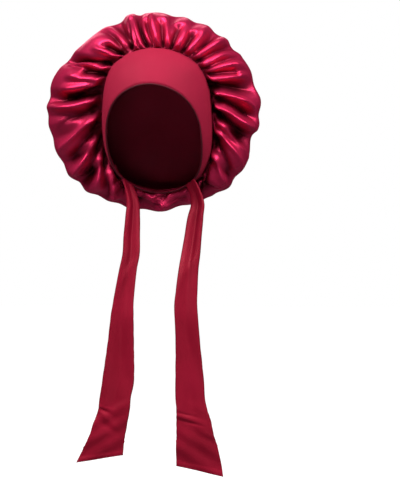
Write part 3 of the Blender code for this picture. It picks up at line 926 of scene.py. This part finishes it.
@dataclass(frozen=True)
class Settling:
    """A short cloth simulation: the cloth is a little too large for its form, so it buckles."""

    columns: int = 112
    rows: int = 28
    frames: int = 24
    spare: float = 0.03
    pressure: float = 0.6
    gravity: float = 0.4
    cap: float = 0.006
    hold: float = 0.32
    hold_rim: float = 0.85
    rim_width: float = 0.9
    sewn: float = 0.25
    pole_fade: Pair = (8.0, 10.4)
    quality: int = 8
    mass: float = 0.08
    stiffness: float = 12.0
    shear: float = 4.0
    bending: float = 4.0
    smoothings: int = 2

    def weights(self, position: Array) -> Array:
        """How firmly the form holds the cloth: fully at the seam, less between it and the rim."""
        rim = np.exp(-np.square((position - OUTLINE) / self.rim_width))
        held = self.hold + (self.hold_rim - self.hold) * rim
        return np.where(position < self.sewn, 1.0, held)

    def simulate(self, copy: Piece, weights: Array) -> Array:
        """Runs the simulation on a piece of cloth.

        Args:
            copy: The cloth.
            weights: How firmly each point is held.

        Returns:
            How far each point moves.
        """
        group = copy.vertex_groups.new(name="hold")
        for index, weight in enumerate(weights):
            group.add([index], float(weight), "REPLACE")
        cloth = copy.modifiers.new("Cloth", "CLOTH")
        values = {"quality": self.quality, "mass": self.mass, "vertex_group_mass": group.name,
                  "tension_stiffness": self.stiffness, "compression_stiffness": self.stiffness,
                  "shear_stiffness": self.shear, "bending_stiffness": self.bending,
                  "pin_stiffness": 1.0, "shrink_min": -self.spare, "use_pressure": True,
                  "uniform_pressure_force": self.pressure}
        for name, value in values.items():
            setattr(cloth.settings, name, value)
        cloth.settings.effector_weights.gravity = self.gravity
        cloth.point_cache.frame_end = self.frames
        before = read_points(copy.data)
        scene = bpy.context.scene
        for frame_number in range(1, self.frames + 1):
            scene.frame_set(frame_number)
        graph = bpy.context.evaluated_depsgraph_get()
        moved = read_points(copy.evaluated_get(graph).data) - before
        scene.frame_set(1)
        return moved

    def run(self, lay: Place, position: Callable[[Array], Array]) -> Array:
        """Simulates a coarse copy of the cloth.

        Args:
            lay: Gives the cloth's points before it settles.
            position: Gives the place along the meridian for a share of the cloth.

        Returns:
            How far each point of the coarse grid moves, smoothed, and never further than
            the cap.
        """
        copy = ClothGrid("settling", self.columns, self.rows, (1, 1)).build(lay)
        data = copy.data
        u, v = read_shares(data).T
        moved = self.simulate(copy, self.weights(position(v)))
        bpy.data.objects.remove(copy)
        bpy.data.meshes.remove(data)
        far = np.linalg.norm(moved, axis=-1, keepdims=True)
        LOG.info("cloth moved %.1f mm on average, %.1f mm at most",
                 far.mean() * PER_METRE, far.max() * PER_METRE)
        moved *= np.tanh(far / self.cap) * self.cap / np.maximum(far, TINY)
        sheet = np.zeros((self.columns, self.rows + 1, 3))
        column = np.rint(u * self.columns).astype(int) % self.columns
        sheet[column, np.rint(v * self.rows).astype(int)] = moved
        for _ in range(self.smoothings):
            sheet = (np.roll(sheet, 1, 0) + 2 * sheet + np.roll(sheet, -1, 0)) / 4
            sheet[:, 1:-1] = (sheet[:, :-2] + 2 * sheet[:, 1:-1] + sheet[:, 2:]) / 4
        fade = 1 - ease(*self.pole_fade, position(np.linspace(0, 1, self.rows + 1)))
        return sheet * fade[None, :, None]


def fill_in(tree: Tree, made: bpy.types.Node, links: dict) -> None:
    """Fills a node's inputs.

    Args:
        tree: The material's or group's tree.
        made: The node.
        links: What each input takes: an output socket or a plain value.
    """
    for name, value in links.items():
        if isinstance(value, bpy.types.NodeSocket):
            tree.links.new(value, made.inputs[name])
        else:
            made.inputs[name].default_value = value


def node(tree: Tree, kind: str, links: dict | None = None, **settings: object
         ) -> bpy.types.Node:
    """Adds a node, with its settings, values and links.

    Args:
        tree: The material's or group's tree.
        kind: The node's type.
        links: What each input takes: an output socket or a plain value.
        settings: The node's own settings.

    Returns:
        The node.
    """
    made = tree.nodes.new(kind)
    for name, value in settings.items():
        setattr(made, name, value)
    fill_in(tree, made, links or {})
    return made


def multiply(tree: Tree, one: object, other: object) -> bpy.types.NodeSocket:
    """The product of two sockets or values."""
    return node(tree, "ShaderNodeMath", {0: one, 1: other}, operation="MULTIPLY").outputs[0]


@dataclass
class Effects:
    """The cloth effects that several materials share, each built once as a node group."""

    groups: dict[str, Tree] = field(default_factory=dict)

    def group(self, name: str, inputs: dict[str, tuple], outputs: dict[str, str],
              fill: Callable[[Tree, dict], dict]) -> Tree:
        """A node group, built when it is first asked for.

        Args:
            name: Its name.
            inputs: Each input's kind and first value.
            outputs: Each output's kind.
            fill: Adds the nodes, and gives the socket behind each output.

        Returns:
            The group.
        """
        if name not in self.groups:
            tree = bpy.data.node_groups.new(name, "ShaderNodeTree")
            given, result = tree.nodes.new("NodeGroupInput"), tree.nodes.new("NodeGroupOutput")
            for key, (kind, value) in inputs.items():
                made = tree.interface.new_socket(name=key, in_out="INPUT", socket_type=kind)
                if value is not None:
                    made.default_value = value
            for key, kind in outputs.items():
                tree.interface.new_socket(name=key, in_out="OUTPUT", socket_type=kind)
            for key, source in fill(tree, given.outputs).items():
                tree.links.new(source, result.inputs[key])
            self.groups[name] = tree
        return self.groups[name]

    def weave(self) -> Tree:
        """Crossing threads, whose height follows the cloth's UV map."""

        def fill(tree: Tree, given: dict) -> dict:
            parts = node(tree, "ShaderNodeSeparateXYZ", {0: given["Vector"]}).outputs
            waves = []
            for axis, count in (("X", "Across"), ("Y", "Along")):
                angle = multiply(tree, multiply(tree, parts[axis], given[count]), math.tau)
                wave = node(tree, "ShaderNodeMath", {0: angle}, operation="SINE")
                waves.append(wave.outputs[0])
            return {"Height": multiply(tree, *waves)}

        return self.group("cloth_weave", {"Vector": (VECTOR, None), "Across": (FLOAT, 1200.0),
                          "Along": (FLOAT, 1200.0)}, {"Height": FLOAT}, fill)

    def tone(self) -> Tree:
        """Slow, uneven tone between a light and a deep colour."""

        def fill(tree: Tree, given: dict) -> dict:
            noise = node(tree, "ShaderNodeTexNoise", {"Vector": given["Vector"],
                         "Scale": given["Scale"], "Detail": 3.0, "Roughness": 0.55})
            spread = node(tree, "ShaderNodeMapRange", {"Value": noise.outputs[0],
                          "From Min": 0.32, "From Max": 0.68})
            mixed = node(tree, "ShaderNodeMix", {"Factor": spread.outputs[0], 6: given["Deep"],
                         7: given["Light"]}, data_type="RGBA")
            return {"Color": mixed.outputs[2], "Mask": spread.outputs[0]}

        return self.group("cloth_tone", {"Vector": (VECTOR, None), "Light": (COLOUR, WHITE),
                          "Deep": (COLOUR, WHITE), "Scale": (FLOAT, 12.0)},
                          {"Color": COLOUR, "Mask": FLOAT}, fill)

    def ripples(self) -> Tree:
        """Small soft wrinkles that run along the cloth, stretched one way."""

        def fill(tree: Tree, given: dict) -> dict:
            scaled = node(tree, "ShaderNodeVectorMath", {0: given["Vector"], 1: given["Stretch"]},
                          operation="MULTIPLY")
            noise = node(tree, "ShaderNodeTexNoise", {"Vector": scaled.outputs[0],
                         "Scale": given["Scale"], "Detail": 2.0, "Roughness": 0.5})
            return {"Height": noise.outputs[0]}

        return self.group("cloth_ripples", {"Vector": (VECTOR, None),
                          "Stretch": (VECTOR, (1.0, 0.2, 1.0)), "Scale": (FLOAT, 60.0)},
                          {"Height": FLOAT}, fill)


@dataclass(frozen=True)
class ClothFinish:
    """One cloth: its colours, its gloss and its surface."""

    name: str
    light: Triple
    deep: Triple
    roughness: Pair
    metallic: float = 0.0
    specular: float = 0.5
    tone_scale: float = 12.0
    threads: Pair = (1400.0, 1400.0)
    thread_depth: float = 0.03
    ripple_scale: float = 60.0
    ripple_stretch: Triple = (1.0, 0.2, 1.0)
    ripple_depth: float = 0.3
    tint: Triple = (1.0, 1.0, 1.0)
    # Painted shade: the dark colour painted where the cloth lies deep between folds and beside the
    # seam, and the depths at which it is full and at which it is gone.
    painted_shade_colour: Triple | None = None
    painted_shade_full_at: float = -0.009
    painted_shade_gone_at: float = 0.002

    def build(self, effects: Effects) -> bpy.types.Material:
        """The material.

        Args:
            effects: The shared cloth effects.

        Returns:
            A material whose colour, gloss and surface all vary.
        """
        material = bpy.data.materials.new(self.name)
        material.use_nodes = True
        tree = material.node_tree
        shader = tree.nodes["Principled BSDF"]
        where = node(tree, "ShaderNodeTexCoord")
        cloth = node(tree, "ShaderNodeUVMap", uv_map="Cloth").outputs["UV"]
        tone = node(tree, "ShaderNodeGroup", {"Vector": where.outputs["Object"],
                    "Light": (*self.light, 1), "Deep": (*self.deep, 1),
                    "Scale": self.tone_scale}, node_tree=effects.tone())
        colour = tone.outputs["Color"]
        # Painted shade: the colour is pulled towards a dark colour where the cloth lies deep
        # between folds and beside the seam.
        if self.painted_shade_colour:
            place = node(tree, "ShaderNodeAttribute", attribute_name="painted_shade")
            depth = node(tree, "ShaderNodeMapRange", {"Value": place.outputs["Fac"],
                         "From Min": self.painted_shade_full_at, "From Max": self.painted_shade_gone_at})
            shade = node(tree, "ShaderNodeMix", {"Factor": depth.outputs[0],
                         6: (*self.painted_shade_colour, 1), 7: colour}, data_type="RGBA")
            colour = shade.outputs[2]
        rough = node(tree, "ShaderNodeMapRange", {"Value": tone.outputs["Mask"],
                     "To Min": self.roughness[0], "To Max": self.roughness[1]})
        weave = node(tree, "ShaderNodeGroup", {"Vector": cloth, "Across": self.threads[0],
                     "Along": self.threads[1]}, node_tree=effects.weave())
        ripples = node(tree, "ShaderNodeGroup", {"Vector": cloth, "Scale": self.ripple_scale,
                       "Stretch": self.ripple_stretch}, node_tree=effects.ripples())
        soft = node(tree, "ShaderNodeBump", {"Height": ripples.outputs["Height"],
                    "Distance": RIPPLE_SIZE, "Strength": self.ripple_depth})
        fine = node(tree, "ShaderNodeBump", {"Height": weave.outputs["Height"],
                    "Distance": THREAD_SIZE, "Strength": self.thread_depth,
                    "Normal": soft.outputs[0]})
        fill_in(tree, shader, {"Base Color": colour, "Roughness": rough.outputs[0],
                "Normal": fine.outputs[0], "Metallic": self.metallic,
                "Specular IOR Level": self.specular, "Specular Tint": (*self.tint, 1)})
        return material


class Finish(Enum):
    """The cloths that the bonnet is made of, and the painted shade on its turned face edge."""

    # The satin's third, near-black colour is painted shade, laid where the cloth lies deep between
    # folds and along the seam.
    SATIN = ClothFinish("crimson_satin", (0.64, 0.022, 0.098), (0.56, 0.016, 0.078),
                        (0.41, 0.47), metallic=0.7, tone_scale=9.0, ripple_scale=90.0,
                        ripple_stretch=(1.0, 0.15, 1.0), ripple_depth=0.06, specular=0.6,
                        tint=(1.0, 0.4, 0.55), painted_shade_colour=(0.06, 0.0004, 0.004))
    BACK = ClothFinish("crimson_satin_back", (0.30, 0.006, 0.030), (0.24, 0.004, 0.023),
                       (0.60, 0.70), specular=0.15, tone_scale=9.0)
    KNIT = ClothFinish("crimson_knit", (0.29, 0.008, 0.033), (0.26, 0.007, 0.029),
                       (0.66, 0.76), specular=0.12, threads=(900.0, 1100.0),
                       thread_depth=0.35, ripple_depth=0.05)
    SASH = ClothFinish("crimson_sash", (0.24, 0.002, 0.018), (0.19, 0.0015, 0.013),
                       (0.46, 0.54), metallic=0.2, specular=0.12, ripple_scale=45.0,
                       ripple_stretch=(0.4, 1.0, 1.0), ripple_depth=0.12)
    # Painted shade: the turned face edge is the same knit, given a much darker colour to stand in
    # for the shade where the edge turns under.
    EDGE = ClothFinish("crimson_edge_painted_shade", (0.10, 0.003, 0.012), (0.07, 0.002, 0.009),
                       (0.6, 0.7), specular=0.2, threads=(900.0, 1100.0), thread_depth=0.3)


@dataclass
class Wardrobe:
    """Builds each finish once."""

    effects: Effects = field(default_factory=Effects)
    made: dict[Finish, bpy.types.Material] = field(default_factory=dict)

    def get(self, finish: Finish) -> bpy.types.Material:
        """The finish's material."""
        if finish not in self.made:
            self.made[finish] = finish.value.build(self.effects)
        return self.made[finish]


def dress_up(piece: Piece, slot: str, *materials: bpy.types.Material) -> None:
    """Gives a piece its materials and the body that it rides on.

    Args:
        piece: The piece.
        slot: The record's name for what it is made of. It is not used.
        materials: Its materials, with the one for its back last.
    """
    for material in materials:
        piece.data.materials.append(material)
    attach(piece, ROOT)


class Part(ABC):
    """A part of the bonnet."""

    @abstractmethod
    def dress(self, wardrobe: Wardrobe) -> list[Piece]:
        """Builds the part's pieces, gives them their finish, puts them on the root body and hides
        the imported parts that they stand in for.

        Args:
            wardrobe: The finishes.

        Returns:
            The pieces made.
        """


@dataclass
class Crown(Part):
    """The gathered satin bag."""

    form: CrownForm
    settling: Settling = Settling()
    columns: int = 440
    rows: int = 100
    cut: float = 0.58
    round_cut: float = 1.1
    crowding: float = 1.12
    moved: Array | None = None

    def position(self, v: Array) -> Array:
        """The section that a share of the cloth reaches, with more rows near the seam."""
        places, lengths = self.form.meridian()
        return np.interp(v ** self.crowding * lengths[-1], lengths, places)

    def lay(self, u: Array, v: Array) -> Array:
        """Points of the bag: u runs round the clock and v from the seam to the pole."""
        point = self.form.folded(u * 360, self.position(v))
        if self.moved is None:
            return point
        columns, rows = self.moved.shape[0], self.moved.shape[1] - 1
        return point + read_sheet(self.moved, u * columns, v * rows)

    def build(self) -> Piece:
        """The bag's cloth, gathered and folded."""
        length = self.form.meridian()[1][-1]
        self.moved = self.settling.run(self.lay, self.position)
        grid = ClothGrid("crown_satin", self.columns, self.rows, (self.round_cut, length),
                         self.form.wall, lined=True)
        bag = grid.build(self.lay)
        u, v = read_shares(bag.data).T
        # The depths that the satin's painted shade follows: darker in the slits between folds and
        # along the seam.
        painted_shade = bag.data.attributes.new("painted_shade", "FLOAT", "POINT")
        painted_shade.data.foreach_set("value", self.form.painted_shade(u * 360, self.position(v)))
        return bag

    def dress(self, wardrobe: Wardrobe) -> list[Piece]:
        """The bag, satin outside and its back inside."""
        bag = self.build()
        dress_up(bag, "crown_satin", wardrobe.get(Finish.SATIN), wardrobe.get(Finish.BACK))
        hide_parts("crown")
        return [bag]


@dataclass
class Band(Part):
    """The wide stretch band and the narrow turned edge round the face, which is coloured dark as
    painted shade.
    """

    form: BandForm
    columns: int = 288
    rows: int = 16
    cut: Pair = (0.56, 0.07)
    area: float = 0.0300
    edge_cut: Pair = (0.5, 0.008)
    edge_radius: float = 0.0013
    edge_out: float = 0.0002
    edge_sides: int = 10

    def lay(self, u: Array, v: Array) -> Array:
        """Points of the band's outer side: v runs from the face edge to the seam edge."""
        return self.form.point(u * 360, v, self.form.wall)

    def lay_edge(self, u: Array, v: Array) -> Array:
        """Points of the turned edge, a slim tube along the face edge."""
        clock, turn = u * 360, v * math.tau
        centre = self.form.point(clock, 0.0, self.form.wall / 2)
        way, out = self.form.edge_way(clock), self.form.out(centre)
        ring = way * np.cos(turn)[..., None] - out * np.sin(turn)[..., None]
        return centre + way * self.edge_out + ring * self.edge_radius

    def dress(self, wardrobe: Wardrobe) -> list[Piece]:
        """The knit strip and its turned edge, coloured dark as painted shade."""
        strip = ClothGrid("band_knit", self.columns, self.rows, self.cut, self.form.wall)
        band = strip.build(self.lay)
        roll = ClothGrid("band_edge", self.columns, self.edge_sides, self.edge_cut)
        edge = roll.build(self.lay_edge)
        dress_up(band, "band_knit", wardrobe.get(Finish.KNIT))
        dress_up(edge, "band_knit", wardrobe.get(Finish.EDGE))
        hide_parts("band")
        return [band, edge]


@dataclass
class Tie(Part):
    """One long tie."""

    form: TieForm
    name: str
    columns: int = 40
    rows: int = 190
    wall: float = 0.0014
    cut: Pair = (0.066, 0.46)
    area: float = 0.0262

    def dress(self, wardrobe: Wardrobe) -> list[Piece]:
        """The doubled strip, sewn to the band's face edge."""
        grid = ClothGrid(f"{self.name}_sash", self.columns, self.rows, self.cut, self.wall, 0.0)
        tie = grid.build(self.form.lay)
        dress_up(tie, "tie_cloth", wardrobe.get(Finish.SASH))
        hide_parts(self.name)
        return [tie]


@dataclass
class Studio:
    """The pale floor, the soft lights and the camera."""

    azimuth: float = 6.5
    distance: float = 2.6
    view_height: float = 0.7245
    sensor: float = 36.0
    aside: float = 0.0645
    below: float = -0.17175
    floor: float = -0.575
    floor_width: float = 16.0
    floor_colour: Span = (0.15, 0.15, 0.155, 1)
    floor_roughness: float = 0.9
    glow: float = 1.0
    ambient: float = 0.045

    def lay_floor(self, u: Array, v: Array) -> Array:
        """Points of the floor."""
        x, y = (u - 0.5) * self.floor_width, (v - 0.5) * self.floor_width
        return np.stack([x, y, np.full(u.shape, self.floor)], -1)

    def lay_out_floor(self) -> Piece:
        """The pale floor, which the camera sees white."""
        made = ClothGrid("pale_floor", 4, 4, (1.0, 1.0)).build(self.lay_floor)
        material = bpy.data.materials.new("pale_floor")
        material.use_nodes = True
        tree = material.node_tree
        path = node(tree, "ShaderNodeLightPath")
        lit = multiply(tree, path.outputs["Is Camera Ray"], self.glow)
        fill_in(tree, tree.nodes["Principled BSDF"], {"Base Color": self.floor_colour,
                "Roughness": self.floor_roughness, "Emission Color": WHITE,
                "Emission Strength": lit})
        made.data.materials.append(material)
        return made

    def softbox(self, lamp: Lamp) -> Piece:
        """A soft light that faces the bonnet.

        Args:
            lamp: What it is like.

        Returns:
            The light.
        """
        data = bpy.data.lights.new(lamp.name, "AREA")
        data.shape = "RECTANGLE"
        data.size, data.size_y = lamp.size
        data.energy = lamp.power
        data.spread = math.radians(lamp.spread)
        light = bpy.data.objects.new(lamp.name, data)
        light.location = lamp.place
        light.rotation_mode = "QUATERNION"
        way = Vector(lamp.aim) - Vector(lamp.place)
        light.rotation_quaternion = way.to_track_quat("-Z", "Y")
        bpy.context.scene.collection.objects.link(light)
        return light

    def camera(self) -> Piece:
        """The camera, level with the object and a little to its right."""
        data = bpy.data.cameras.new("camera")
        data.sensor_width = self.sensor
        data.lens = self.sensor * self.distance / self.view_height
        made = bpy.data.objects.new("camera", data)
        turn = math.radians(self.azimuth)
        right = Vector((math.cos(turn), math.sin(turn), 0))
        look = Vector((-math.sin(turn), math.cos(turn), 0))
        made.location = right * self.aside - look * self.distance + Vector((0, 0, self.below))
        made.rotation_euler = (math.pi / 2, 0, turn)
        bpy.context.scene.collection.objects.link(made)
        bpy.context.scene.camera = made
        return made

    def set_up(self) -> None:
        """Makes the floor, the lights, the ambient light and the camera."""
        self.camera()
        self.lay_out_floor()
        for lamp in LAMPS:
            self.softbox(lamp)
        self.lay_out_world()

    def lay_out_world(self) -> None:
        """The ambient light: white to the camera, dim to everything else."""
        scene = bpy.context.scene
        scene.world = bpy.data.worlds.new("soft_light")
        scene.world.use_nodes = True
        tree = scene.world.node_tree
        dim = tree.nodes["Background"]
        fill_in(tree, dim, {"Color": WHITE, "Strength": self.ambient})
        seen = node(tree, "ShaderNodeBackground", {"Color": WHITE, "Strength": 1.0})
        path = node(tree, "ShaderNodeLightPath")
        mixed = node(tree, "ShaderNodeMixShader", {0: path.outputs["Is Camera Ray"],
                     1: dim.outputs[0], 2: seen.outputs[0]})
        fill_in(tree, tree.nodes["World Output"], {"Surface": mixed.outputs[0]})
        scene.view_settings.view_transform = "Standard"


def main() -> None:
    """Dresses the bonnet, piece by piece, and sets up the picture."""
    logging.basicConfig(level=logging.INFO, format="%(name)s: %(message)s")
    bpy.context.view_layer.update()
    Studio().set_up()
    wardrobe = Wardrobe()
    band = BandForm()
    parts = (
        Crown(CrownForm(band)),
        Band(band),
        Tie(TieForm(band, 1, RIGHT_TIE, RIGHT_TIE_CREASES), "tie_right"),
        Tie(TieForm(band, -1, LEFT_TIE, LEFT_TIE_CREASES), "tie_left"),
    )
    for part in parts:
        for piece in part.dress(wardrobe):
            LOG.info("%s has %d faces", piece.name, len(piece.data.polygons))


if __name__ == "__main__":
    main()
